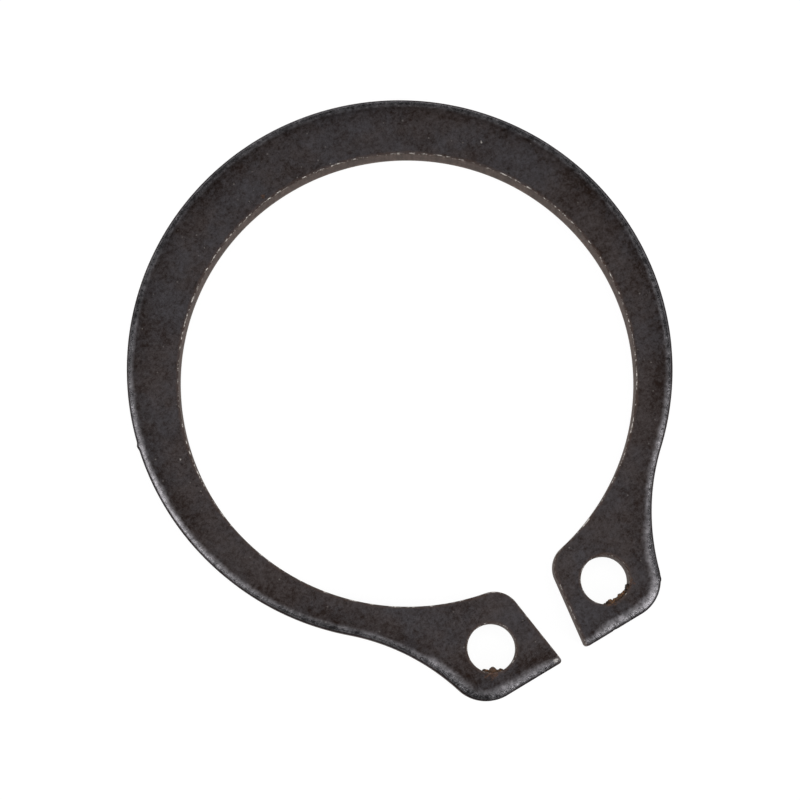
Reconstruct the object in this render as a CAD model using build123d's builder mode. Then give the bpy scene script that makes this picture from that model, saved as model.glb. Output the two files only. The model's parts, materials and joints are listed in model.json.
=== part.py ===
"""External retaining ring for a 20 mm shaft, with two plier lugs.

The ring lies flat. The bore's centre is the origin and the underside is on z = 0.
The lugs and the gap between them point to -Y, and X = 0 is the plane of symmetry.
"""
from build123d import *
from math import cos, radians, sin, tan
import os

# Ring, mm
bore_diameter = 18.5  # free size, smaller than the shaft
thickness = 1.2
back_width = 2.35  # radial width opposite the gap, where the ring is widest
front_width = 1.17  # radial width that the taper heads for, at the gap

# Lugs
lug_height = 3.67  # bore circle to the lugs' straight edge
lug_edge = 2.58  # straight edge of one lug, from the gap to its rounded corner
lug_corner_radius = 1.59
flank_radius = 9.0  # hollow curve from the ring into the lug

# Gap between the lugs
tip_gap = 1.1
gap_face_angle = 7.5  # degrees by which each gap face opens towards the bore
tip_radius = 0.14
bore_corner_radius = 1.08

# Plier holes
hole_diameter = 2.0
hole_from_gap = 2.08  # hole centre to the lug's tip, across the gap
hole_from_edge = 1.87  # hole centre to the straight edge

# Edges left by the press
roll_radius = 0.3  # rolled outer edge of the upper face
break_radius = 0.08  # broken edges of the underside
piercing_margin = 1.0  # how far the gap's cut runs past the straight edge

# Worked out from the sizes above
bore_radius = bore_diameter / 2
outer_radius = (bore_diameter + back_width + front_width) / 2
outer_shift = (back_width - front_width) / 2
edge_y = -(bore_radius + lug_height)
corner_x = tip_gap / 2 + lug_edge
hole_x = tip_gap / 2 + hole_from_gap
hole_y = edge_y + hole_from_edge
gap_run = (sin(radians(gap_face_angle)), cos(radians(gap_face_angle)))
tip_setback = tip_radius / tan(radians(90 - gap_face_angle) / 2)


def along_gap_face(distance):
    """Point on the right-hand gap face, this far from its sharp tip."""
    return (tip_gap / 2 + distance * gap_run[0], edge_y + distance * gap_run[1])


with BuildPart() as retaining_ring:
    # Plate in the outer outline: a tapering ring that runs into the lugs
    with BuildSketch():
        with BuildLine():
            ring_circle = CenterArc((0, outer_shift), outer_radius, 0, 360, mode=Mode.PRIVATE)
            corner_center = (corner_x, edge_y + lug_corner_radius)
            corner_circle = CenterArc(corner_center, lug_corner_radius, 0, 360, mode=Mode.PRIVATE)
            flank = ConstrainedArcs(
                (ring_circle, Tangency.OUTSIDE),
                (corner_circle, Tangency.OUTSIDE),
                radius=flank_radius,
                selector=lambda arcs: arcs.sort_by(Axis.X)[-1],
            ).edge()
            flank_top, flank_foot = flank.vertices().sort_by(Axis.Y, reverse=True)
            ring_arc = TangentArc((0, outer_shift + outer_radius), flank_top, tangent=(1, 0))
            corner_arc = TangentArc((corner_x, edge_y), flank_foot, tangent=(1, 0))
            Line((0, edge_y), (corner_x, edge_y))
            mirror(about=Plane.YZ)
        make_face()
    extrude(amount=thickness)
    fillet(retaining_ring.faces().sort_by(Axis.Z)[-1].edges(), radius=roll_radius)

    # Bore and gap, pierced in one stroke
    with BuildSketch() as opening:
        with BuildLine():
            face_end = along_gap_face(tip_setback)
            tip_end = (tip_gap / 2 + tip_setback, edge_y)
            Line((0, 0), along_gap_face(bore_radius))
            Line(along_gap_face(bore_radius), face_end)
            TangentArc(face_end, tip_end, tangent=(-gap_run[0], -gap_run[1]))
            Line(tip_end, (tip_end[0], edge_y - piercing_margin))
            Line((tip_end[0], edge_y - piercing_margin), (0, edge_y - piercing_margin))
            mirror(about=Plane.YZ)
        make_face()
        Circle(bore_radius)
        fillet(opening.vertices().sort_by_distance((0, -bore_radius))[:2], radius=bore_corner_radius)
    extrude(amount=thickness, mode=Mode.SUBTRACT)

    # Plier holes
    with Locations((hole_x, hole_y, thickness), (-hole_x, hole_y, thickness)):
        Hole(radius=hole_diameter / 2)

    fillet(retaining_ring.faces().sort_by(Axis.Z)[0].edges(), radius=break_radius)

retaining_ring.part.label = "retaining_ring"

os.makedirs("parts", exist_ok=True)
export_step(retaining_ring.part, "parts/retaining_ring.step")
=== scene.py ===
# External retaining ring for a 20 mm shaft, black oxide spring steel, lying flat
import bpy
import json
import math
from mathutils import Euler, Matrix, Vector, geometry, kdtree


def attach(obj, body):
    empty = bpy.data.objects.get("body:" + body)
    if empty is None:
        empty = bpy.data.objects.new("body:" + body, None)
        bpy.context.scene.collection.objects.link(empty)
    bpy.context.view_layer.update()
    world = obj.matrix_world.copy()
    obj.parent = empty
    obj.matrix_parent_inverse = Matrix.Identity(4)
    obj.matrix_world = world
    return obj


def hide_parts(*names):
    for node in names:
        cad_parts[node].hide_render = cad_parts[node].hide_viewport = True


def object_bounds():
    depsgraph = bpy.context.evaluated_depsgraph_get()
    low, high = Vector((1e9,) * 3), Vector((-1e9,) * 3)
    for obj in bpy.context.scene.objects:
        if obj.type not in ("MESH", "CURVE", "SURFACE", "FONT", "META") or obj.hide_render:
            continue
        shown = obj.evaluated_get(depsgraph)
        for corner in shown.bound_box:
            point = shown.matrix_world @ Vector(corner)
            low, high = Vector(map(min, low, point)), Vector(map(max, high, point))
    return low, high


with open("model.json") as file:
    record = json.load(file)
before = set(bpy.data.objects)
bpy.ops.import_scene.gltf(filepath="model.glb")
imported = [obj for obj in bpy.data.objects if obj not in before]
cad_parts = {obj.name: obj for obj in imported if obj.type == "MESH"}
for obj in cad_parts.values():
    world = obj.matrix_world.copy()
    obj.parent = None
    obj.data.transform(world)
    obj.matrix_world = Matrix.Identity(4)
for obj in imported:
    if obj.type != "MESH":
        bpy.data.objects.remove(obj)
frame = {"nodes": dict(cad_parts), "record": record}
cadLow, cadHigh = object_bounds()
mounts = {m["name"]: m for m in frame["record"]["mounts"]}
mm = 0.001
print("frame loaded:", ", ".join(frame["nodes"]))


def addNode(tree, kind, **settings):
    node = tree.nodes.new(kind)
    for name, value in settings.items():
        setattr(node, name, value)
    return node


def feed(tree, socket, value):
    if isinstance(value, bpy.types.NodeSocket):
        tree.links.new(value, socket)
    elif value is not None:
        socket.default_value = value


def calc(tree, operation, *values, clamp=False):
    node = addNode(tree, "ShaderNodeMath", operation=operation, use_clamp=clamp)
    for socket, value in zip(node.inputs, values):
        feed(tree, socket, value)
    return node.outputs[0]


def vectorCalc(tree, operation, *values):
    node = addNode(tree, "ShaderNodeVectorMath", operation=operation)
    for socket, value in zip(node.inputs, values):
        feed(tree, socket, value)
    return node.outputs["Value" if operation in ("LENGTH", "DISTANCE") else "Vector"]


def ramp(tree, value, low, high, start=0.0, end=1.0):
    # from start at low to end at high, with soft ends
    node = addNode(tree, "ShaderNodeMapRange", interpolation_type="SMOOTHSTEP")
    for socket, number in zip(node.inputs, (value, low, high, start, end)):
        feed(tree, socket, number)
    return node.outputs[0]


ringShape = {
    "boreRadius": mounts["shaft_bore"]["dims"]["r_mm"] - 0.04,  # the real one is a little tighter
    "holeRadius": mounts["plier_hole_right"]["dims"]["r_mm"] - 0.03,  # and so are these
    "thickness": (cadHigh.z - cadLow.z) / mm,
    "backY": cadHigh.y / mm,  # outermost point opposite the gap
    "edgeY": cadLow.y / mm,  # straight edge of the lugs
    "frontWidth": 1.21,  # radial width that the taper heads for
    "lugEdge": 2.58,  # straight edge of one lug
    "lugCornerRadius": 1.59,
    "flankRadius": 9.0,
    "tipGap": 1.1,
    "gapFaceAngle": 7.5,
    "tipRadius": 0.14,
    "boreCornerRadius": 1.08,
    "step": 0.07,  # spacing of the points along the outline
    "grid": 0.15,  # spacing of the points inside
    "outerRows": (0.006, 0.02, 0.045, 0.08, 0.12, 0.165, 0.215, 0.27, 0.335, 0.41, 0.5),
    "openingRows": (0.006, 0.013, 0.028, 0.055, 0.1, 0.17, 0.26),
}
holeShift = Vector((-0.06, 0.035))  # the punch sat a little off
holeNames = ("plier_hole_left", "plier_hole_right")
holeCentres = [Vector(mounts[name]["pos_m"][:2]) / mm + holeShift for name in holeNames]
edgeMarks = (  # burrs and nicks of the outer edge: x, y, reach, and how far out, below 0 for a nick
    (-10.72, 3.12, 0.17, 0.05),
    (1.87, -12.85, 0.14, -0.03),
    (4.51, -12.12, 0.13, 0.04),
)


def arc(center, radius, start, end, step):
    # points of an arc from one angle to another, in radians, without its last point
    count = max(2, math.ceil(abs(end - start) * radius / step))
    angles = [start + (end - start) * i / count for i in range(count)]
    return [Vector((center[0] + radius * math.cos(a), center[1] + radius * math.sin(a))) for a in angles]


def straight(start, end, step):
    count = max(1, math.ceil((end - start).length / step))
    return [start.lerp(end, i / count) for i in range(count)]


def circleThrough(centerA, radiusA, centerB, radiusB):
    # the right-hand point at radiusA from one centre and radiusB from the other
    axis = centerB - centerA
    along = (radiusA ** 2 - radiusB ** 2 + axis.length ** 2) / (2 * axis.length)
    aside = math.sqrt(radiusA ** 2 - along ** 2)
    direction = axis.normalized()
    return centerA + direction * along + Vector((-direction.y, direction.x)) * aside


def heading(vector):
    return math.atan2(vector.y, vector.x)


def mirrored(points):
    return [Vector((-p.x, p.y)) for p in reversed(points)]


def ringOutlines(s):
    # right-hand half of the outer outline, from the back to the tip,
    # and of the opening, from the tip to the bore's far point
    step = s["step"]
    bore, edgeY = s["boreRadius"], s["edgeY"]
    outerRadius = (s["backY"] + bore + s["frontWidth"]) / 2
    ringCentre = Vector((0, s["backY"] - outerRadius))
    cornerCentre = Vector((s["tipGap"] / 2 + s["lugEdge"], edgeY + s["lugCornerRadius"]))
    flankCentre = circleThrough(ringCentre, outerRadius + s["flankRadius"],
                                cornerCentre, s["lugCornerRadius"] + s["flankRadius"])
    toRing, toCorner = ringCentre - flankCentre, cornerCentre - flankCentre
    outer = arc(ringCentre, outerRadius, math.pi / 2, heading(-toRing), step)
    outer += arc(flankCentre, s["flankRadius"], heading(toRing), heading(toCorner), step)
    outer += arc(cornerCentre, s["lugCornerRadius"], heading(-toCorner), -math.pi / 2, step)

    lean = math.radians(s["gapFaceAngle"])
    alongFace = Vector((math.sin(lean), math.cos(lean)))
    intoLug = Vector((math.cos(lean), -math.sin(lean)))
    tipCorner = Vector((s["tipGap"] / 2, edgeY))
    setback = s["tipRadius"] / math.tan((math.pi / 2 - lean) / 2)
    tipCentre = tipCorner + Vector((setback, s["tipRadius"]))
    tipEnd = Vector((tipCorner.x + setback, edgeY))
    outer += straight(Vector((cornerCentre.x, edgeY)), tipEnd, step)

    # the inner corner's circle touches the gap face and the bore
    start = tipCorner + intoLug * s["boreCornerRadius"]
    climb = start.dot(alongFace)
    outside = start.length_squared - (bore + s["boreCornerRadius"]) ** 2
    cornerInner = start - alongFace * (climb + math.sqrt(climb * climb - outside))
    faceTop = cornerInner - intoLug * s["boreCornerRadius"]
    faceFoot = tipCentre - intoLug * s["tipRadius"]
    opening = arc(tipCentre, s["tipRadius"], -math.pi / 2, heading(-intoLug) - 2 * math.pi, step / 3)
    opening += straight(faceFoot, faceTop, step)
    opening += arc(cornerInner, s["boreCornerRadius"], heading(-intoLug), heading(-cornerInner), step)
    opening += arc((0, 0), bore, heading(cornerInner), math.pi / 2, step)
    opening.append(Vector((0, bore)))
    return outer, opening, cornerCentre, tipEnd


def withMarks(points):
    # points near a mark move away from the ring's middle, or towards it
    moved = []
    for point in points:
        shift = Vector((0, 0))
        for x, y, reach, size in edgeMarks:
            near = 1 - (point - Vector((x, y))).length / reach
            if near > 0:
                shift += point.normalized() * size * near
        moved.append(point + shift)
    return moved


def inwardNormals(points, closed):
    # the ring lies to the right of the way its outlines run
    normals = []
    last = len(points) - 1
    for i in range(len(points)):
        before = points[i - 1] if i or closed else points[i]
        after = points[(i + 1) % len(points)] if i < last or closed else points[i]
        run = (after - before).normalized()
        normals.append(Vector((run.y, -run.x)))
    return normals


def searchTree(points):
    tree = kdtree.KDTree(len(points))
    for i, point in enumerate(points):
        tree.insert(point.to_3d(), i)
    tree.balance()
    return tree


def flatSheet(s):
    # a flat triangle mesh of the whole ring, with rows of points along every edge
    outer, opening, cornerCentre, tipEnd = ringOutlines(s)
    wholeOpening = opening + mirrored(opening)[1:]
    boundary = [withMarks(outer + wholeOpening + mirrored(outer)[:-1])]
    acrossGap = straight(tipEnd, Vector((-tipEnd.x, tipEnd.y)), s["step"])
    blank = withMarks(outer + acrossGap + mirrored(outer + [tipEnd])[:-1])
    holes = []
    for centre in holeCentres:
        holes.append(arc(centre, s["holeRadius"], 0, 2 * math.pi, s["step"] * 0.7))
    boundary += holes

    edgePoints, edgeNormals = [], []
    for loop in boundary:
        edgePoints += loop
        edgeNormals += inwardNormals(loop, True)
    nearest = searchTree(edgePoints)

    def depth(point):
        # how far inside the metal a point is, below 0 outside it
        found, i, distance = nearest.find(point.to_3d())
        return distance if (point - found.xy).dot(edgeNormals[i]) > 0 else -distance

    taken = {}
    cell = 0.02  # wider than any clearance asked for

    def take(point, clearance):
        column, row = int(point.x // cell), int(point.y // cell)
        for i in (-1, 0, 1):
            for j in (-1, 0, 1):
                for other in taken.get((column + i, row + j), ()):
                    if (other - point).length < clearance:
                        return
        taken.setdefault((column, row), []).append(point)
        points.append(point)

    points, edges = [], []
    for loop in boundary:
        first = len(points)
        points += loop
        edges += [(first + i, first + (i + 1) % len(loop)) for i in range(len(loop))]
    for point in points:
        taken.setdefault((int(point.x // cell), int(point.y // cell)), []).append(point)

    rowSets = [(blank, True, s["outerRows"]), (wholeOpening, False, s["openingRows"])]
    rowSets += [(hole, True, s["openingRows"]) for hole in holes]
    for line, closed, offsets in rowSets:
        normals = inwardNormals(line, closed)
        for offset in offsets:
            room = min(offset, offsets[1])
            for point, normal in zip(line, normals):
                candidate = point + normal * offset
                if depth(candidate) > 0.6 * room:
                    take(candidate, 0.3 * room)

    # the open face between the rows gets an even net of points
    grid = s["grid"]
    rowHeight = grid * math.sqrt(3) / 2
    toBlank = searchTree(blank)
    for j in range(int(s["edgeY"] / rowHeight), int(s["backY"] / rowHeight)):
        for i in range(int(-s["backY"] / grid), int(s["backY"] / grid)):
            point = Vector(((i + 0.5 * (j % 2)) * grid, j * rowHeight))
            if depth(point) < s["openingRows"][-1] + grid / 2:
                continue
            if toBlank.find(point.to_3d())[2] < s["outerRows"][-1] + grid / 2:
                continue
            points.append(point)

    coords, _, faces, *_ = geometry.delaunay_2d_cdt(points, edges, [], 0, 1e-6, False)
    kept = [f for f in faces if depth(sum((coords[i] for i in f), Vector((0, 0))) / len(f)) > 0]
    return coords, kept, blank, wholeOpening, holes, cornerCentre


def lineObject(name, loops):
    # edges only: the paths that the press tools follow
    points, edges = [], []
    for loop, closed in loops:
        first = len(points)
        points += [p.to_3d() for p in loop]
        edges += [(first + i, first + i + 1) for i in range(len(loop) - 1)]
        if closed:
            edges.append((first + len(loop) - 1, first))
    mesh = bpy.data.meshes.new(name)
    mesh.from_pydata(points, edges, [])
    thing = bpy.data.objects.new(name, mesh)
    bpy.context.scene.collection.objects.link(thing)
    return thing


pressSizes = {
    "Thickness": ringShape["thickness"],
    "Roll Width": 0.55,  # rolled outer edge of the upper face
    "Roll Depth": 0.21,
    "Corner Roll": 0.24,  # the roll is this much wider round the lugs' corners
    "Corner Near": 0.2,  # full up to here past the corner's round
    "Corner Far": 1.0,  # and gone from here
    "Upper Break": 0.012,  # worn upper edge of the bore, gap and holes
    "Under Roll Width": 0.05,  # rolled lower edge of the bore, gap and holes
    "Under Roll Depth": 0.04,
    "Under Break": 0.05,  # lower outer edge
    "Unevenness": 0.005,
    "Lump Scale": 0.9,
    "Wall Rows": 4,
}
sharpTurn = math.radians(38)  # edges that turn more than this stay crisp


def rolledDrop(tree, distance, width, depth):
    # quarter ellipse: how far the face falls at a distance from its edge
    inside = calc(tree, "SUBTRACT", 1.0, calc(tree, "DIVIDE", distance, width), clamp=True)
    flat = calc(tree, "SQRT", calc(tree, "SUBTRACT", 1.0, calc(tree, "MULTIPLY", inside, inside)))
    return calc(tree, "MULTIPLY", depth, calc(tree, "SUBTRACT", 1.0, flat))


def edgeDistance(tree, outline):
    source = addNode(tree, "GeometryNodeObjectInfo")
    feed(tree, source.inputs["Object"], outline)
    near = addNode(tree, "GeometryNodeProximity", target_element="EDGES")
    feed(tree, near.inputs[0], source.outputs["Geometry"])
    return near.outputs["Distance"]


def atHeight(tree, mesh, height):
    place = addNode(tree, "GeometryNodeSetPosition")
    point = addNode(tree, "ShaderNodeSeparateXYZ")
    feed(tree, point.inputs[0], addNode(tree, "GeometryNodeInputPosition").outputs[0])
    joined = addNode(tree, "ShaderNodeCombineXYZ")
    for socket, value in zip(joined.inputs, (point.outputs[0], point.outputs[1], height)):
        feed(tree, socket, value)
    feed(tree, place.inputs["Geometry"], mesh)
    feed(tree, place.inputs["Position"], joined.outputs[0])
    return place.outputs[0]


def keepAttribute(tree, mesh, name, value):
    store = addNode(tree, "GeometryNodeStoreNamedAttribute", data_type="FLOAT", domain="POINT")
    feed(tree, store.inputs["Geometry"], mesh)
    store.inputs["Name"].default_value = name
    feed(tree, store.inputs["Value"], value)
    return store.outputs[0]


def storedValue(tree, name):
    node = addNode(tree, "GeometryNodeInputNamedAttribute", data_type="FLOAT")
    node.inputs["Name"].default_value = name
    return node.outputs[0]


def geometryTree(name, sockets):
    # a tree with geometry in and out, and an input for each name and kind
    tree = bpy.data.node_groups.new(name, "GeometryNodeTree")
    tree.interface.new_socket("Geometry", in_out="INPUT", socket_type="NodeSocketGeometry")
    tree.interface.new_socket("Geometry", in_out="OUTPUT", socket_type="NodeSocketGeometry")
    for label, kind in sockets.items():
        tree.interface.new_socket(label, in_out="INPUT", socket_type="NodeSocket" + kind)
    return tree, addNode(tree, "NodeGroupInput").outputs, addNode(tree, "NodeGroupOutput")


def pressTree():
    # upper and lower face from one flat sheet, with rolled edges, and walls between them
    sockets = {"Outer Outline": "Object", "Opening Outline": "Object"}
    for label, size in pressSizes.items():
        sockets[label] = "Int" if isinstance(size, int) else "Float"
    sockets |= {"Corner Centre": "Vector", "Corner Radius": "Float"}
    sockets |= {"Face Material": "Material", "Wall Material": "Material"}
    tree, given, result = geometryTree("stampedRing", sockets)

    # the distances are taken on the flat sheet and stay with its points
    sheet = given["Geometry"]
    sheet = keepAttribute(tree, sheet, "outerDistance", edgeDistance(tree, given["Outer Outline"]))
    sheet = keepAttribute(tree, sheet, "openingDistance", edgeDistance(tree, given["Opening Outline"]))
    outer = storedValue(tree, "outerDistance")
    opening = storedValue(tree, "openingDistance")

    # the roll widens round the outer corners of both lugs
    position = addNode(tree, "GeometryNodeInputPosition").outputs[0]
    foldedX = vectorCalc(tree, "MULTIPLY", vectorCalc(tree, "ABSOLUTE", position), (1, 0, 0))
    onlyY = vectorCalc(tree, "MULTIPLY", position, (0, 1, 0))
    folded = vectorCalc(tree, "ADD", foldedX, onlyY)  # both lugs on the right-hand side
    fromCorner = vectorCalc(tree, "DISTANCE", folded, given["Corner Centre"])
    past = calc(tree, "SUBTRACT", fromCorner, given["Corner Radius"])
    nearCorner = ramp(tree, past, given["Corner Far"], given["Corner Near"])
    wide = calc(tree, "MULTIPLY_ADD", nearCorner, given["Corner Roll"], given["Roll Width"])

    sheet = keepAttribute(tree, sheet, "rollPlace", calc(tree, "DIVIDE", outer, wide))
    upperBreak = rolledDrop(tree, opening, given["Upper Break"], given["Upper Break"])
    roll = rolledDrop(tree, outer, wide, given["Roll Depth"])
    topHeight = calc(tree, "SUBTRACT", given["Thickness"], calc(tree, "ADD", roll, upperBreak))
    underRoll = rolledDrop(tree, opening, given["Under Roll Width"], given["Under Roll Depth"])
    underBreak = rolledDrop(tree, outer, given["Under Break"], given["Under Break"])
    bottomHeight = calc(tree, "ADD", underRoll, underBreak)

    top = atHeight(tree, sheet, topHeight)
    bottom = atHeight(tree, sheet, bottomHeight)
    flipped = addNode(tree, "GeometryNodeFlipFaces")
    feed(tree, flipped.inputs[0], bottom)

    # walls: the open edges of the sheet, pulled up in rows
    edgeFaces = addNode(tree, "GeometryNodeInputMeshEdgeNeighbors").outputs[0]
    isOpen = addNode(tree, "FunctionNodeCompare", data_type="INT", operation="EQUAL")
    feed(tree, isOpen.inputs[2], edgeFaces)  # the whole-number pair of inputs
    isOpen.inputs[3].default_value = 1
    rowStep = calc(tree, "DIVIDE", 1.0, given["Wall Rows"])
    up = addNode(tree, "ShaderNodeCombineXYZ")
    feed(tree, up.inputs[2], rowStep)
    startRows = addNode(tree, "GeometryNodeRepeatInput")
    endRows = addNode(tree, "GeometryNodeRepeatOutput")
    startRows.pair_with_output(endRows)
    endRows.repeat_items.new("BOOLEAN", "Edge")
    endRows.repeat_items.new("BOOLEAN", "Wall")
    capture = addNode(tree, "GeometryNodeCaptureAttribute", domain="EDGE")
    capture.capture_items.new("BOOLEAN", "Open")
    feed(tree, capture.inputs[0], sheet)
    feed(tree, capture.inputs[1], isOpen.outputs[0])
    feed(tree, startRows.inputs["Iterations"], given["Wall Rows"])
    feed(tree, startRows.inputs["Geometry"], capture.outputs[0])
    feed(tree, startRows.inputs["Edge"], capture.outputs[1])
    pull = addNode(tree, "GeometryNodeExtrudeMesh", mode="EDGES")
    feed(tree, pull.inputs["Mesh"], startRows.outputs["Geometry"])
    feed(tree, pull.inputs["Selection"], startRows.outputs["Edge"])
    feed(tree, pull.inputs["Offset"], up.outputs[0])
    pull.inputs["Offset Scale"].default_value = 1.0
    wallSoFar = addNode(tree, "FunctionNodeBooleanMath", operation="OR")
    feed(tree, wallSoFar.inputs[0], startRows.outputs["Wall"])
    feed(tree, wallSoFar.inputs[1], pull.outputs["Side"])
    feed(tree, endRows.inputs["Geometry"], pull.outputs["Mesh"])
    feed(tree, endRows.inputs["Edge"], pull.outputs["Top"])
    feed(tree, endRows.inputs["Wall"], wallSoFar.outputs[0])
    wallOnly = addNode(tree, "GeometryNodeSeparateGeometry", domain="FACE")
    feed(tree, wallOnly.inputs[0], endRows.outputs["Geometry"])
    feed(tree, wallOnly.inputs[1], endRows.outputs["Wall"])
    rise = addNode(tree, "ShaderNodeSeparateXYZ")
    feed(tree, rise.inputs[0], addNode(tree, "GeometryNodeInputPosition").outputs[0])
    between = calc(tree, "SUBTRACT", topHeight, bottomHeight)
    wallHeight = calc(tree, "MULTIPLY_ADD", rise.outputs[2], between, bottomHeight)
    wallIn = atHeight(tree, wallOnly.outputs[0], wallHeight)
    wall = addNode(tree, "GeometryNodeFlipFaces")
    feed(tree, wall.inputs[0], wallIn)

    painted = []
    shells = {top: "Face Material", flipped.outputs[0]: "Face Material", wall.outputs[0]: "Wall Material"}
    for mesh, material in shells.items():
        paint = addNode(tree, "GeometryNodeSetMaterial")
        feed(tree, paint.inputs[0], mesh)
        feed(tree, paint.inputs["Material"], given[material])
        painted.append(paint.outputs[0])
    joined = addNode(tree, "GeometryNodeJoinGeometry")
    for mesh in reversed(painted):
        feed(tree, joined.inputs[0], mesh)
    weld = addNode(tree, "GeometryNodeMergeByDistance")
    feed(tree, weld.inputs[0], joined.outputs[0])
    weld.inputs["Distance"].default_value = 0.0005  # mm, only points that meet

    # slight unevenness, inwards only, so that the ring stays inside its box
    lumps = addNode(tree, "ShaderNodeTexNoise")
    feed(tree, lumps.inputs["Scale"], given["Lump Scale"])
    lumps.inputs["Detail"].default_value = 3.0
    swing = calc(tree, "MULTIPLY", calc(tree, "MULTIPLY", lumps.outputs[0], -1.0), given["Unevenness"])
    shift = addNode(tree, "ShaderNodeVectorMath", operation="SCALE")
    feed(tree, shift.inputs[0], addNode(tree, "GeometryNodeInputNormal").outputs[0])
    feed(tree, shift.inputs["Scale"], swing)
    worked = addNode(tree, "GeometryNodeSetPosition")
    feed(tree, worked.inputs["Geometry"], weld.outputs[0])
    feed(tree, worked.inputs["Offset"], shift.outputs[0])

    # smooth everywhere but across the sharp edges
    smooth = addNode(tree, "GeometryNodeSetShadeSmooth", domain="FACE")
    feed(tree, smooth.inputs[0], worked.outputs[0])
    turn = addNode(tree, "GeometryNodeInputMeshEdgeAngle")
    sharp = calc(tree, "GREATER_THAN", turn.outputs[0], sharpTurn)
    crease = addNode(tree, "GeometryNodeSetShadeSmooth", domain="EDGE")
    feed(tree, crease.inputs[0], smooth.outputs[0])
    feed(tree, crease.inputs["Selection"], sharp)
    crease.inputs["Shade Smooth"].default_value = False
    inMetres = addNode(tree, "GeometryNodeTransform")
    feed(tree, inMetres.inputs["Geometry"], crease.outputs[0])
    inMetres.inputs["Scale"].default_value = (mm, mm, mm)
    real = addNode(tree, "GeometryNodeRealizeInstances")
    feed(tree, real.inputs[0], inMetres.outputs[0])
    feed(tree, result.inputs[0], real.outputs[0])
    return tree


def setInputs(modifier, values):
    # a modifier's inputs are set by the sockets' identifiers
    for item in modifier.node_group.interface.items_tree:
        if item.in_out == "INPUT" and item.name in values:
            modifier[item.identifier] = values[item.name]


def bakedPiece(source, name):
    # the evaluated object becomes a plain mesh, and the working object goes
    bpy.context.view_layer.update()
    seen = source.evaluated_get(bpy.context.evaluated_depsgraph_get())
    mesh = bpy.data.meshes.new_from_object(seen)
    mesh.name = name
    piece = bpy.data.objects.new(name, mesh)
    bpy.context.scene.collection.objects.link(piece)
    bpy.data.objects.remove(source)
    return piece


def alongBlank(points, blank):
    # how far round the blank each point lies, so that streaks can run across the rolled edge
    lengths = [0.0]
    for i in range(1, len(blank)):
        lengths.append(lengths[-1] + (blank[i] - blank[i - 1]).length)
    whole = lengths[-1] + (blank[0] - blank[-1]).length
    tree = searchTree(blank)
    found = [lengths[tree.find(p.to_3d())[1]] for p in points]
    return [value if value < whole / 2 else value - whole for value in found]


def shaderGroup(name, inputs, outputs):
    # a group that the materials share, with its inputs' first values
    tree = bpy.data.node_groups.new(name, "ShaderNodeTree")
    for label, value in inputs.items():
        kind = "NodeSocketColor" if isinstance(value, tuple) else "NodeSocketFloat"
        tree.interface.new_socket(label, in_out="INPUT", socket_type=kind).default_value = value
    for label, kind in outputs.items():
        tree.interface.new_socket(label, in_out="OUTPUT", socket_type="NodeSocket" + kind)
    given = addNode(tree, "NodeGroupInput").outputs
    result = addNode(tree, "NodeGroupOutput").inputs
    return tree, given, result


def placeGroup(tree, group, values):
    node = addNode(tree, "ShaderNodeGroup", node_tree=group)
    for label, value in values.items():
        feed(tree, node.inputs[label], value)
    return node.outputs


def millimetres(tree):
    # object coordinates in mm
    coordinate = addNode(tree, "ShaderNodeTexCoord").outputs["Object"]
    node = addNode(tree, "ShaderNodeVectorMath", operation="SCALE")
    feed(tree, node.inputs[0], coordinate)
    node.inputs["Scale"].default_value = 1 / mm
    return node.outputs[0]


def placeParts(tree):
    # x, y and z in mm
    parts = addNode(tree, "ShaderNodeSeparateXYZ")
    feed(tree, parts.inputs[0], millimetres(tree))
    return parts.outputs


def noise(tree, place, scale, detail, roughness):
    node = addNode(tree, "ShaderNodeTexNoise", noise_dimensions="3D")
    feed(tree, node.inputs["Vector"], place)
    feed(tree, node.inputs["Scale"], scale)
    feed(tree, node.inputs["Detail"], detail)
    feed(tree, node.inputs["Roughness"], roughness)
    return node.outputs[0]


def mixColour(tree, factor, first, second):
    node = addNode(tree, "ShaderNodeMix", data_type="RGBA", clamp_factor=True)
    feed(tree, node.inputs[0], factor)
    feed(tree, node.inputs[6], first)  # the colour pair of inputs
    feed(tree, node.inputs[7], second)
    return node.outputs[2]


def mixValue(tree, factor, first, second):
    node = addNode(tree, "ShaderNodeMix", data_type="FLOAT", clamp_factor=True)
    feed(tree, node.inputs[0], factor)
    feed(tree, node.inputs[2], first)
    feed(tree, node.inputs[3], second)
    return node.outputs[0]


def attribute(tree, name):
    return addNode(tree, "ShaderNodeAttribute", attribute_name=name).outputs["Fac"]


def scaled(tree, colour, amount):
    node = addNode(tree, "ShaderNodeVectorMath", operation="SCALE")
    feed(tree, node.inputs[0], colour)
    feed(tree, node.inputs["Scale"], amount)
    return node.outputs[0]


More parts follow.
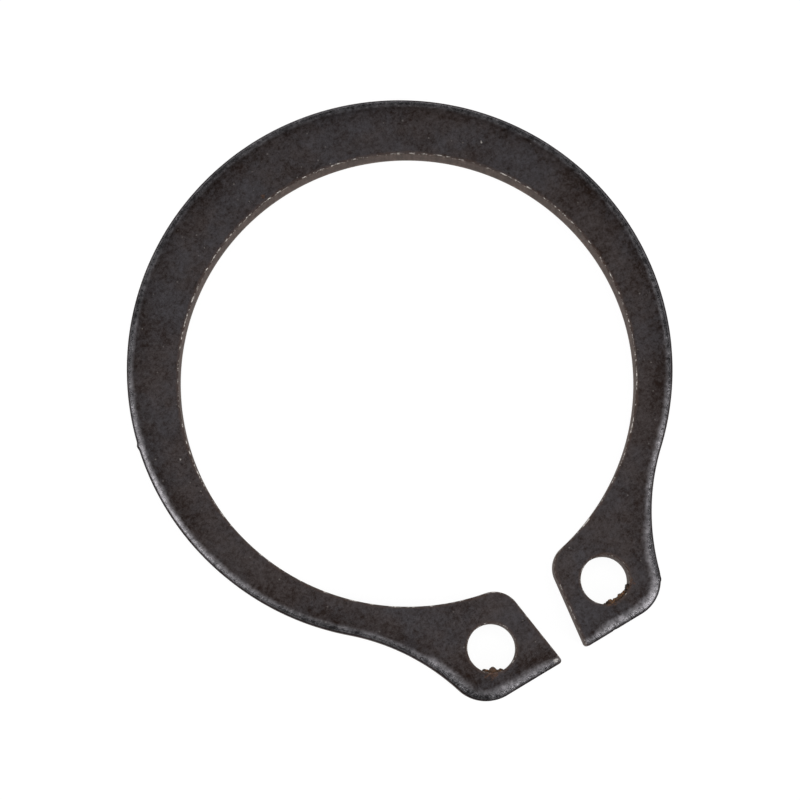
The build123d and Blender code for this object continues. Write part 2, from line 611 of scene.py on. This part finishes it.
def oxideGrainGroup():
    # blotches and grain of an oxide coat: a tone round 1, a slow patch mask, specks, pits and a height
    inputs = {
        "Blotch Scale": 0.45,
        "Grain Scale": 4.0,
        "Grain Contrast": 1.2,
        "Blotch Contrast": 0.8,
        "Specks": 0.1,
    }
    outputs = {label: "Float" for label in ("Tone", "Patch", "Specks", "Pits", "Height")}
    tree, given, result = shaderGroup("oxideGrain", inputs, outputs)
    place = millimetres(tree)
    blotch = noise(tree, place, given["Blotch Scale"], 4.0, 0.95)
    grain = noise(tree, vectorCalc(tree, "ADD", place, (31.0, 7.0, 3.0)), given["Grain Scale"], 4.0, 1.0)
    blotchTone = calc(tree, "MULTIPLY", calc(tree, "SUBTRACT", blotch, 0.5), given["Blotch Contrast"])
    grainTone = calc(tree, "MULTIPLY", calc(tree, "SUBTRACT", grain, 0.5), given["Grain Contrast"])
    tone = calc(tree, "ADD", calc(tree, "ADD", blotchTone, grainTone), 1.0)
    patch = noise(tree, vectorCalc(tree, "ADD", place, (5.0, 60.0, 1.0)), 0.3, 4.0, 0.75)

    cells = addNode(tree, "ShaderNodeTexVoronoi", feature="F1")
    feed(tree, cells.inputs["Vector"], place)
    cells.inputs["Scale"].default_value = 5.5
    lot = addNode(tree, "ShaderNodeSeparateColor")
    feed(tree, lot.inputs[0], cells.outputs["Color"])
    picked = calc(tree, "LESS_THAN", lot.outputs[0], given["Specks"])
    specks = calc(tree, "MULTIPLY", picked, ramp(tree, cells.outputs["Distance"], 0.28, 0.1))
    pitted = calc(tree, "GREATER_THAN", lot.outputs[1], 0.86)
    pits = calc(tree, "MULTIPLY", pitted, ramp(tree, cells.outputs["Distance"], 0.34, 0.12))
    height = calc(tree, "ADD", calc(tree, "SUBTRACT", grain, calc(tree, "MULTIPLY", pits, 0.5)), specks)
    for label, value in zip(outputs, (tone, patch, specks, pits, height)):
        feed(tree, result[label], value)
    return tree


def edgeWearGroup():
    # bare metal along an edge: near it, and broken up by noise
    inputs = {"Distance": 0.0, "Width": 0.03, "Breakup Scale": 2.0, "Cover": 0.5}
    tree, given, result = shaderGroup("edgeWear", inputs, {"Wear": "Float"})
    place = millimetres(tree)
    close = calc(tree, "SUBTRACT", 1.0, calc(tree, "DIVIDE", given["Distance"], given["Width"]), clamp=True)
    close = ramp(tree, close, 0.0, 0.6)
    breakup = noise(tree, place, given["Breakup Scale"], 4.0, 0.8)
    threshold = calc(tree, "SUBTRACT", 1.0, given["Cover"])
    kept = ramp(tree, calc(tree, "SUBTRACT", breakup, threshold), -0.06, 0.1)
    feed(tree, result["Wear"], calc(tree, "MULTIPLY", close, kept))
    return tree


def newMaterial(name, metallic, roughness):
    material = bpy.data.materials.new(name)
    material.use_nodes = True
    shader = material.node_tree.nodes["Principled BSDF"]
    shader.inputs["Metallic"].default_value = metallic
    shader.inputs["Roughness"].default_value = roughness
    return material, material.node_tree, shader


def bump(tree, height, strength, distance):
    node = addNode(tree, "ShaderNodeBump")
    node.inputs["Strength"].default_value = strength
    node.inputs["Distance"].default_value = distance
    feed(tree, node.inputs["Height"], height)
    return node.outputs[0]


def spotGroup():
    # one ragged spot on the metal, at a place given in mm
    inputs = {"X": 0.0, "Y": 0.0, "Radius": 0.2, "Ragged": 0.6}
    tree, given, result = shaderGroup("spot", inputs, {"Spot": "Float"})
    place = millimetres(tree)
    centre = addNode(tree, "ShaderNodeCombineXYZ")
    feed(tree, centre.inputs[0], given["X"])
    feed(tree, centre.inputs[1], given["Y"])
    flat = vectorCalc(tree, "MULTIPLY", place, (1.0, 1.0, 0.0))
    away = calc(tree, "DIVIDE", vectorCalc(tree, "DISTANCE", flat, centre.outputs[0]), given["Radius"])
    ragged = calc(tree, "SUBTRACT", noise(tree, place, 5.0, 4.0, 0.8), 0.5)
    edge = calc(tree, "MULTIPLY_ADD", ragged, calc(tree, "MULTIPLY", given["Ragged"], 6.0), away)
    feed(tree, result["Spot"], ramp(tree, edge, 1.1, 0.55))
    return tree


oxideFinish = {
    "dark": (0.0085, 0.0048, 0.0034),  # brown where the oxide is thin
    "light": (0.0732, 0.0662, 0.0694),  # blue grey where it is thick
    "balance": 0.38,  # from dark at 0 to light at 1
    "contrast": 0.52,
    "warm": (1.06, 1.0, 0.95),  # tints of the slow patches
    "cool": (0.955, 1.0, 1.045),
    "browner": 0.12,  # how much the band inside the rolled edge turns brown
    "brownBand": (1.15, 0.55),  # where that band ends and where it is full, from the outer edge
    "pit": (0.008, 0.007, 0.007),
    "speck": (0.17, 0.155, 0.145),
    "grain": {
        "Blotch Scale": 0.42,
        "Grain Scale": 5.0,
        "Grain Contrast": 4.7,
        "Blotch Contrast": 2.55,
        "Specks": 0.06,
    },
    "metallic": 0.9,
    "roughness": 0.55,
    "sheen": (0.55, 0.52, 0.54),  # less of it at a flat angle
    "relief": 0.014,  # depth of the bumps in mm
    "rollMetal": (0.155, 0.149, 0.157),  # tumbled bright on the rolled edge
    "rollRoughness": 0.24,
    "rollBright": (0.68, 0.18),  # where that starts and is full, as shares of the roll's width
    "streaks": (5.0, 2.6),  # how fine they are along the edge and across it
    "streakContrast": 4.2,
    "bareMetal": (0.50, 0.47, 0.44),
    "wear": {"Width": 0.055, "Breakup Scale": 3.2, "Cover": 0.45},
    "wornLess": (-10.6, -9.6, 0.45, 1.0),  # the wear's strength below and above two heights in y
    "edgeBrown": (0.060, 0.040, 0.032),
    "rust": (0.085, 0.042, 0.024),
    "rustSpots": ((-3.20, -11.86, 0.22), (3.28, -11.55, 0.20), (2.30, -11.88, 0.20), (-1.25, 9.40, 0.09)),
    # pale marks, and the last one, at one lug's tip, a painted glint
    "paleSpotsAndTipGlint": ((7.56, 6.76, 0.06), (-9.50, 1.77, 0.05), (-0.76, -12.76, 0.10)),
}


def addSpots(tree, group, spots, ragged):
    total = None
    for x, y, radius in spots:
        spot = placeGroup(tree, group, {"X": x, "Y": y, "Radius": radius, "Ragged": ragged})["Spot"]
        total = spot if total is None else calc(tree, "MAXIMUM", total, spot)
    return total


def oxideFace(tree, s, grain, outer, ragged):
    # brown to blue grey by the grain, browner beside the rolled edge
    grainShade = calc(tree, "SUBTRACT", grain["Tone"], 1.0)
    shade = calc(tree, "MULTIPLY_ADD", grainShade, s["contrast"], s["balance"])
    band = ramp(tree, calc(tree, "ADD", outer, ragged), *s["brownBand"])
    shade = calc(tree, "SUBTRACT", shade, calc(tree, "MULTIPLY", band, s["browner"]))
    shade = calc(tree, "MULTIPLY_ADD", ramp(tree, grain["Patch"], 0.3, 0.7), 0.09, shade)
    face = mixColour(tree, shade, (*s["dark"], 1), (*s["light"], 1))
    warm = vectorCalc(tree, "MULTIPLY", face, s["warm"])
    cool = vectorCalc(tree, "MULTIPLY", face, s["cool"])
    face = mixColour(tree, ramp(tree, grain["Patch"], 0.36, 0.64), warm, cool)
    face = mixColour(tree, calc(tree, "MULTIPLY", grain["Pits"], 0.5), face, (*s["pit"], 1))
    return mixColour(tree, calc(tree, "MULTIPLY", grain["Specks"], 0.5), face, (*s["speck"], 1))


def burnishedRoll(tree, s, grain, outer, ragged):
    # where the roll is tumbled bright, the streaks across it and its colour
    place = calc(tree, "MULTIPLY_ADD", ragged, 0.7, attribute(tree, "rollPlace"))
    burnish = calc(tree, "MULTIPLY", ramp(tree, place, *s["rollBright"]), ramp(tree, outer, 0.04, 0.11))
    across = addNode(tree, "ShaderNodeCombineXYZ")
    for socket, run, fineness in zip(across.inputs, (attribute(tree, "alongOuter"), outer), s["streaks"]):
        feed(tree, socket, calc(tree, "MULTIPLY", run, fineness))
    streaks = noise(tree, across.outputs[0], 1.0, 5.0, 0.85)
    tone = calc(tree, "MULTIPLY_ADD", calc(tree, "SUBTRACT", streaks, 0.5), s["streakContrast"], 1.0)
    tone = calc(tree, "MULTIPLY", tone, calc(tree, "MULTIPLY_ADD", grain["Tone"], 0.5, 0.5))
    return burnish, streaks, scaled(tree, s["rollMetal"], calc(tree, "MAXIMUM", tone, 0.25))


def makeOxide(s, grainGroup, wearGroup, spots):
    material, tree, shader = newMaterial("blackOxide", s["metallic"], s["roughness"])
    shader.inputs["Specular Tint"].default_value = (*s["sheen"], 1)
    grain = placeGroup(tree, grainGroup, s["grain"])
    outer = attribute(tree, "outerDistance")
    opening = attribute(tree, "openingDistance")
    ragged = calc(tree, "MULTIPLY_ADD", noise(tree, millimetres(tree), 1.3, 4.0, 0.75), 0.5, -0.25)
    upper = ramp(tree, placeParts(tree)[2], 0.5, 0.7)  # only the upper half has the wear
    burnish, streaks, rollColour = burnishedRoll(tree, s, grain, outer, ragged)
    burnish = calc(tree, "MULTIPLY", burnish, upper)
    colour = mixColour(tree, burnish, oxideFace(tree, s, grain, outer, ragged), rollColour)

    # the bore, gap and holes: brown beside the edge, bare metal on it, and pale and rusty spots; the pale
    # spot at one lug's tip is a painted glint
    brown = ramp(tree, calc(tree, "MULTIPLY_ADD", ragged, 0.4, opening), 0.14, 0.03)
    colour = mixColour(tree, calc(tree, "MULTIPLY", brown, 0.45), colour, (*s["edgeBrown"], 1))
    worn = placeGroup(tree, wearGroup, {"Distance": opening, **s["wear"]})["Wear"]
    worn = calc(tree, "MULTIPLY", worn, upper)
    worn = calc(tree, "MULTIPLY", worn, ramp(tree, placeParts(tree)[1], *s["wornLess"]))
    # pale spots and the painted glint at one lug's tip turn towards bare metal
    pale = calc(tree, "MULTIPLY", addSpots(tree, spots, s["paleSpotsAndTipGlint"], 0.8), 0.5)
    colour = mixColour(tree, calc(tree, "MAXIMUM", worn, pale), colour, (*s["bareMetal"], 1))
    rust = addSpots(tree, spots, s["rustSpots"], 0.9)
    rustColour = scaled(tree, s["rust"], calc(tree, "MAXIMUM", grain["Tone"], 0.2))
    colour = mixColour(tree, calc(tree, "MULTIPLY", rust, 0.65), colour, rustColour)

    rough = mixValue(tree, burnish, s["roughness"], s["rollRoughness"])
    rough = calc(tree, "MULTIPLY_ADD", calc(tree, "SUBTRACT", grain["Tone"], 1.0), 0.12, rough)
    relief = calc(tree, "MULTIPLY_ADD", streaks, calc(tree, "MULTIPLY", burnish, 1.5), grain["Height"])
    relief = calc(tree, "ADD", relief, rust)
    feed(tree, shader.inputs["Base Color"], colour)
    feed(tree, shader.inputs["Roughness"], mixValue(tree, rust, rough, 0.85))
    feed(tree, shader.inputs["Metallic"], mixValue(tree, rust, s["metallic"], 0.1))
    feed(tree, shader.inputs["Normal"], bump(tree, relief, 0.6, s["relief"] * mm))
    return material


shearedFinish = {
    "metal": (0.070, 0.053, 0.0465),
    "light": (0.140, 0.104, 0.085),  # where the die cut it clean, low on the wall
    "bareMetal": (0.50, 0.45, 0.41),
    "grain": {
        "Blotch Scale": 1.2,
        "Grain Scale": 6.0,
        "Grain Contrast": 3.0,
        "Blotch Contrast": 3.0,
        "Specks": 0.1,
    },
    "metallic": 0.5,
    "roughness": 0.6,
    "specular": 0.3,
    "sheen": (0.55, 0.46, 0.42),
    "relief": 0.015,
}


def makeSheared(s, grainGroup):
    material, tree, shader = newMaterial("shearedEdge", s["metallic"], s["roughness"])
    shader.inputs["Specular IOR Level"].default_value = s["specular"]
    shader.inputs["Specular Tint"].default_value = (*s["sheen"], 1)
    grain = placeGroup(tree, grainGroup, s["grain"])
    upright = vectorCalc(tree, "MULTIPLY", millimetres(tree), (1.0, 1.0, 0.12))  # lines run down the wall
    lines = noise(tree, upright, 6.0, 3.0, 0.85)
    tone = calc(tree, "MULTIPLY", grain["Tone"], calc(tree, "MULTIPLY_ADD", lines, 1.8, 0.1))
    height = placeParts(tree)[2]
    low = ramp(tree, height, 0.4, 0.05)
    high = ramp(tree, height, 1.0, 1.18)
    colour = mixColour(tree, calc(tree, "MULTIPLY", low, 0.45), (*s["metal"], 1), (*s["light"], 1))
    colour = scaled(tree, colour, calc(tree, "MAXIMUM", tone, 0.25))
    glints = calc(tree, "MULTIPLY", ramp(tree, lines, 0.55, 0.64), high)
    colour = mixColour(tree, calc(tree, "MULTIPLY", glints, 0.7), colour, (*s["bareMetal"], 1))
    rough = calc(tree, "MULTIPLY_ADD", grain["Tone"], 0.15, s["roughness"] - 0.15)
    relief = calc(tree, "ADD", calc(tree, "MULTIPLY", lines, 2.0), grain["Height"])
    feed(tree, shader.inputs["Base Color"], colour)
    feed(tree, shader.inputs["Roughness"], rough)
    feed(tree, shader.inputs["Normal"], bump(tree, relief, 0.5, s["relief"] * mm))
    return material


rustFinish = {
    "dark": (0.050, 0.026, 0.014),
    "orange": (0.150, 0.072, 0.032),
    "pale": (0.42, 0.29, 0.17),
    "grain": {
        "Blotch Scale": 2.2,
        "Grain Scale": 9.0,
        "Grain Contrast": 4.0,
        "Blotch Contrast": 4.0,
        "Specks": 0.2,
    },
    "roughness": 0.85,
    "relief": 0.03,
}


def makeRust(s, grainGroup):
    material, tree, shader = newMaterial("rustScale", 0.0, s["roughness"])
    grain = placeGroup(tree, grainGroup, s["grain"])
    patch = noise(tree, millimetres(tree), 4.5, 2.0, 0.6)
    colour = mixColour(tree, ramp(tree, patch, 0.46, 0.64), (*s["dark"], 1), (*s["orange"], 1))
    colour = mixColour(tree, ramp(tree, patch, 0.66, 0.74), colour, (*s["pale"], 1))
    colour = scaled(tree, colour, calc(tree, "MAXIMUM", grain["Tone"], 0.3))
    feed(tree, shader.inputs["Base Color"], colour)
    rough = calc(tree, "MULTIPLY_ADD", grain["Patch"], 0.3, s["roughness"] - 0.2)
    feed(tree, shader.inputs["Roughness"], rough)
    feed(tree, shader.inputs["Normal"], bump(tree, grain["Height"], 0.8, s["relief"] * mm))
    return material


oxideGrain = oxideGrainGroup()
blackOxide = makeOxide(oxideFinish, oxideGrain, edgeWearGroup(), spotGroup())
shearedEdge = makeSheared(shearedFinish, oxideGrain)
rustScale = makeRust(rustFinish, oxideGrain)
print("materials made")

coords, faces, blank, openingLine, holeLines, cornerCentre = flatSheet(ringShape)
sheetMesh = bpy.data.meshes.new("ringSheet")
sheetMesh.from_pydata([c.to_3d() for c in coords], [], faces)
along = sheetMesh.attributes.new("alongOuter", "FLOAT", "POINT")
along.data.foreach_set("value", alongBlank(coords, blank))
sheet = bpy.data.objects.new("ringSheet", sheetMesh)
bpy.context.scene.collection.objects.link(sheet)
outerPath = lineObject("outerPath", [(blank, True)])
openingPath = lineObject("openingPath", [(openingLine, False)] + [(line, True) for line in holeLines])
press = sheet.modifiers.new("press", "NODES")
press.node_group = pressTree()
setInputs(press, pressSizes)
setInputs(press, {
    "Outer Outline": outerPath,
    "Opening Outline": openingPath,
    "Corner Centre": cornerCentre.to_3d(),
    "Corner Radius": ringShape["lugCornerRadius"],
    "Face Material": blackOxide,
    "Wall Material": shearedEdge,
})
ring = bakedPiece(sheet, "stampedRing")
bpy.data.objects.remove(outerPath)
bpy.data.objects.remove(openingPath)
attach(ring, "root")
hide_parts("retaining_ring")
print("ring pressed:", len(ring.data.vertices), "points")

rustCrumbs = {
    "Crumbs": 34,
    "Smallest": 0.035,  # radius of one crumb
    "Largest": 0.095,
    "Scatter": 0.045,
    "Roughening": 0.07,
    "Seed": 4,
    "height": 1.02,
    "step": 0.02,
    "runs": (  # hole, first and last angle round it, and the line's share of its radius
        (1, -44.0, -124.0, 0.98),
        (1, -70.0, -112.0, 0.93),
        (0, -98.0, -140.0, 0.98),
        (0, -114.0, -124.0, 0.90),
    ),
}


def crumbTree():
    # crumbs scattered along lines in the holes
    sockets = {"Crumbs": "Int", "Seed": "Int"}
    sockets |= {label: "Float" for label in ("Smallest", "Largest", "Scatter", "Roughening")}
    sockets["Material"] = "Material"
    tree, given, result = geometryTree("rustCrumbs", sockets)

    def chance(kind, low, high, step):
        node = addNode(tree, "FunctionNodeRandomValue", data_type=kind)
        vector = kind == "FLOAT_VECTOR"
        feed(tree, node.inputs[0 if vector else 2], low)
        feed(tree, node.inputs[1 if vector else 3], high)
        feed(tree, node.inputs["Seed"], calc(tree, "ADD", given["Seed"], step))
        return node.outputs[0 if vector else 1]

    line = addNode(tree, "GeometryNodeMeshToCurve")
    feed(tree, line.inputs[0], given["Geometry"])
    points = addNode(tree, "GeometryNodeCurveToPoints", mode="COUNT")
    feed(tree, points.inputs[0], line.outputs[0])
    feed(tree, points.inputs["Count"], given["Crumbs"])
    loose = addNode(tree, "GeometryNodeSetPosition")
    feed(tree, loose.inputs[0], points.outputs[0])
    away = chance("FLOAT_VECTOR", (-1.0, -1.0, -2.4), (1.0, 1.0, 1.0), 1)  # more of them further down
    feed(tree, loose.inputs["Offset"], scaled(tree, away, given["Scatter"]))
    ball = addNode(tree, "GeometryNodeMeshIcoSphere")
    ball.inputs["Radius"].default_value = 1.0
    ball.inputs["Subdivisions"].default_value = 3
    put = addNode(tree, "GeometryNodeInstanceOnPoints")
    feed(tree, put.inputs["Points"], loose.outputs[0])
    feed(tree, put.inputs["Instance"], ball.outputs[0])
    feed(tree, put.inputs["Rotation"], chance("FLOAT_VECTOR", (0.0, 0.0, 0.0), (6.2, 6.2, 6.2), 2))
    feed(tree, put.inputs["Scale"], chance("FLOAT", given["Smallest"], given["Largest"], 3))
    real = addNode(tree, "GeometryNodeRealizeInstances")
    feed(tree, real.inputs[0], put.outputs[0])
    lumps = noise(tree, addNode(tree, "GeometryNodeInputPosition").outputs[0], 11.0, 2.0, 0.6)
    swing = calc(tree, "MULTIPLY", calc(tree, "SUBTRACT", lumps, 0.5), given["Roughening"])
    outwards = addNode(tree, "GeometryNodeInputNormal").outputs[0]
    rough = addNode(tree, "GeometryNodeSetPosition")
    feed(tree, rough.inputs[0], real.outputs[0])
    feed(tree, rough.inputs["Offset"], scaled(tree, outwards, swing))
    resized = addNode(tree, "GeometryNodeTransform")
    feed(tree, resized.inputs["Geometry"], rough.outputs[0])
    resized.inputs["Scale"].default_value = (mm, mm, mm)
    smooth = addNode(tree, "GeometryNodeSetShadeSmooth")
    feed(tree, smooth.inputs[0], resized.outputs[0])
    paint = addNode(tree, "GeometryNodeSetMaterial")
    feed(tree, paint.inputs[0], smooth.outputs[0])
    feed(tree, paint.inputs["Material"], given["Material"])
    feed(tree, result.inputs[0], paint.outputs[0])
    return tree


crumbLines = []
for hole, first, last, reach in rustCrumbs["runs"]:
    radius = reach * ringShape["holeRadius"]
    line = arc(holeCentres[hole], radius, math.radians(first), math.radians(last), rustCrumbs["step"])
    crumbLines.append((line, False))
crumbs = lineObject("crumbLines", crumbLines)
for vertex in crumbs.data.vertices:
    vertex.co.z = rustCrumbs["height"]
scatter = crumbs.modifiers.new("scatter", "NODES")
scatter.node_group = crumbTree()
setInputs(scatter, rustCrumbs)
setInputs(scatter, {"Material": rustScale})
crumbPiece = bakedPiece(crumbs, "rustCrumbs")
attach(crumbPiece, "root")
print("rust crumbs:", len(crumbPiece.data.vertices), "points")

studio = {
    "floorSize": 1.2,
    "floorDrop": 0.00002,  # just clear of the underside
    "paperGlow": 0.94,  # of the floor as it is seen, with the next value for the shadow it takes
    "paperShadow": 0.09,
    "paperColour": 0.9,  # of the floor as the other light meets it
    "sky": 0.07,  # dim ceiling of the room
    "ground": 1.0,  # white below the backdrop's top, and what the pale floor sends up
    "backdropTop": (0.18, 0.3),  # sines of the elevations where the white begins and ends to fade
    "distance": 0.4,  # of the boxes
    "boxes": {  # strength, azimuth, elevation, width and height
        "overheadBox": (3.1, 30.0, 85.5, 0.285, 0.285),
        "sideBox": (4.3, 170.0, 38.0, 0.16, 0.34),
        "frontBox": (5.2, 304.0, 38.0, 0.15, 0.34),
    },
    "lens": 98.687,
    "cameraPlace": (-7.432, -11.153, 88.353),  # mm
    "cameraTurn": (8.1247, -0.2409, -30.8478),  # degrees
}


def softbox(name, strength, azimuth, elevation, width, height):
    lamp = bpy.data.lights.new(name, "AREA")
    lamp.shape = "RECTANGLE"
    lamp.size, lamp.size_y = width, height
    lamp.energy = strength * math.pi * width * height  # so that strength is how bright the box looks
    thing = bpy.data.objects.new(name, lamp)
    direction = Euler((0, -math.radians(elevation), math.radians(azimuth))).to_matrix() @ Vector((1, 0, 0))
    thing.location = direction * studio["distance"]
    thing.rotation_euler = direction.to_track_quat("Z", "Y").to_euler()
    bpy.context.scene.collection.objects.link(thing)


def makePaper(s):
    # white as the camera and reflections see it, plain paper to all other light, and nothing from below
    paper, tree, shader = newMaterial("palePaper", 0.0, 0.9)
    shader.inputs["Base Color"].default_value = (s["paperShadow"], s["paperShadow"], s["paperShadow"], 1)
    shader.inputs["Specular IOR Level"].default_value = 0.0
    glow = addNode(tree, "ShaderNodeEmission")
    glow.inputs["Strength"].default_value = s["paperGlow"]
    rays = addNode(tree, "ShaderNodeLightPath").outputs
    seen = calc(tree, "MAXIMUM", rays["Is Camera Ray"], rays["Is Glossy Ray"])
    seen = calc(tree, "MAXIMUM", seen, rays["Is Transmission Ray"])
    white = addNode(tree, "ShaderNodeAddShader")
    feed(tree, white.inputs[0], shader.outputs[0])
    feed(tree, white.inputs[1], glow.outputs[0])
    plain = addNode(tree, "ShaderNodeBsdfDiffuse")
    plain.inputs["Color"].default_value = (s["paperColour"], s["paperColour"], s["paperColour"], 1)
    clear = addNode(tree, "ShaderNodeBsdfTransparent")
    below = addNode(tree, "ShaderNodeNewGeometry").outputs["Backfacing"]
    surface = plain.outputs[0]
    for factor, other in ((seen, white.outputs[0]), (below, clear.outputs[0])):
        pick = addNode(tree, "ShaderNodeMixShader")
        for socket, value in zip(pick.inputs, (factor, surface, other)):
            feed(tree, socket, value)
        surface = pick.outputs[0]
    feed(tree, tree.nodes["Material Output"].inputs["Surface"], surface)
    return paper


for name, box in studio["boxes"].items():
    softbox(name, *box)

world = bpy.data.worlds.new("studio")
bpy.context.scene.world = world
world.use_nodes = True
room = world.node_tree
background = room.nodes["Background"]
up = addNode(room, "ShaderNodeSeparateXYZ")
feed(room, up.inputs[0], addNode(room, "ShaderNodeTexCoord").outputs["Generated"])
feed(room, background.inputs["Color"],
     ramp(room, up.outputs[2], *studio["backdropTop"], studio["ground"], studio["sky"]))

half = studio["floorSize"] / 2
floorMesh = bpy.data.meshes.new("floor")
corners = [(-half, -half), (half, -half), (half, half), (-half, half)]
floorMesh.from_pydata([(x, y, -studio["floorDrop"]) for x, y in corners], [], [(0, 1, 2, 3)])
floor = bpy.data.objects.new("floor", floorMesh)
bpy.context.scene.collection.objects.link(floor)
floorMesh.materials.append(makePaper(studio))

camera = bpy.data.cameras.new("camera")
camera.lens = studio["lens"]
camera.sensor_width = 36
camera.clip_start = 0.01
camera.clip_end = 10
eye = bpy.data.objects.new("camera", camera)
eye.location = Vector(studio["cameraPlace"]) * mm
eye.rotation_euler = [math.radians(a) for a in studio["cameraTurn"]]
bpy.context.scene.collection.objects.link(eye)
bpy.context.scene.camera = eye
bpy.context.scene.view_settings.view_transform = "Standard"
print("studio set")

bpy.context.view_layer.update()
